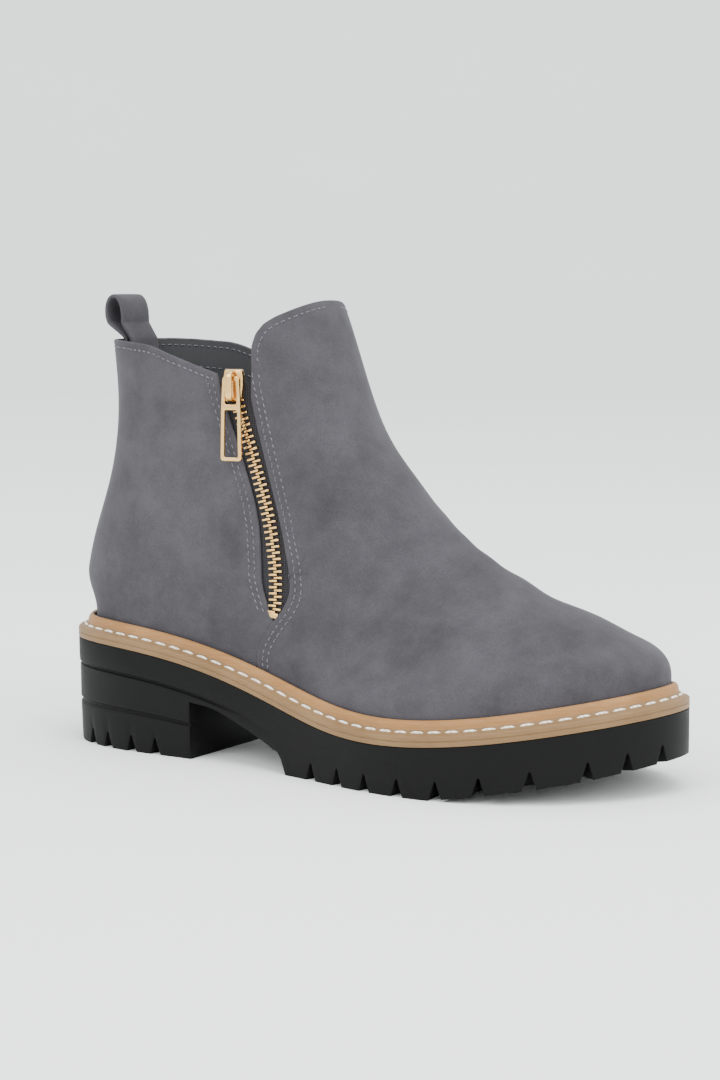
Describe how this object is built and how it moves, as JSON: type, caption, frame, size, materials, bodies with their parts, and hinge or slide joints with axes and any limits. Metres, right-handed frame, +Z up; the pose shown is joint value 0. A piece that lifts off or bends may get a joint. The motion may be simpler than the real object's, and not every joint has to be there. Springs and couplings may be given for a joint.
{
  "type": "zip ankle boot",
  "caption": "Right ankle boot with a lugged block-heel sole, stitched welt, hollow nubuck upper, side zips with swinging pull tabs and a heel pull loop.",
  "frame": {"origin": "on the floor, under the middle of the boot's box", "axes": "+X from heel to toe, +Y to the wearer's left, which is the inner side of this right boot, +Z up"},
  "size_m": [0.285, 0.1113, 0.1967],
  "materials": {
    "upper_nubuck": "napped nubuck, matte",
    "lining_cloth": "smooth lining, matte",
    "welt_tan": "moulded, satin",
    "sole_rubber": "moulded, matte",
    "zip_tape_cloth": "woven tape",
    "zip_metal": "gilt, polished"
  },
  "bodies": {
    "boot": {"outsole": "sole_rubber", "welt": "welt_tan", "insole": "lining_cloth", "upper": "upper_nubuck", "pull_loop": "upper_nubuck", "zip_tape_outer": "zip_tape_cloth", "zip_tape_inner": "zip_tape_cloth", "zip_teeth_outer": "zip_metal", "zip_teeth_inner": "zip_metal", "zip_slider_outer": "zip_metal", "zip_slider_inner": "zip_metal"},
    "pull_outer": {"zip_pull_outer": "zip_metal"},
    "pull_inner": {"zip_pull_inner": "zip_metal"}
  },
  "joints": [
    {"name": "outer_pull_swing", "type": "hinge", "parent": "boot", "child": "pull_outer", "pos_m": [-0.04392, -0.03081, 0.16151], "axis": [-0.9894, -0.1451, 0], "range_deg": [0, 150]},
    {"name": "inner_pull_swing", "type": "hinge", "parent": "boot", "child": "pull_inner", "pos_m": [-0.04392, 0.0398, 0.16151], "axis": [0.9894, -0.1449, 0], "range_deg": [0, 150]}
  ]
}
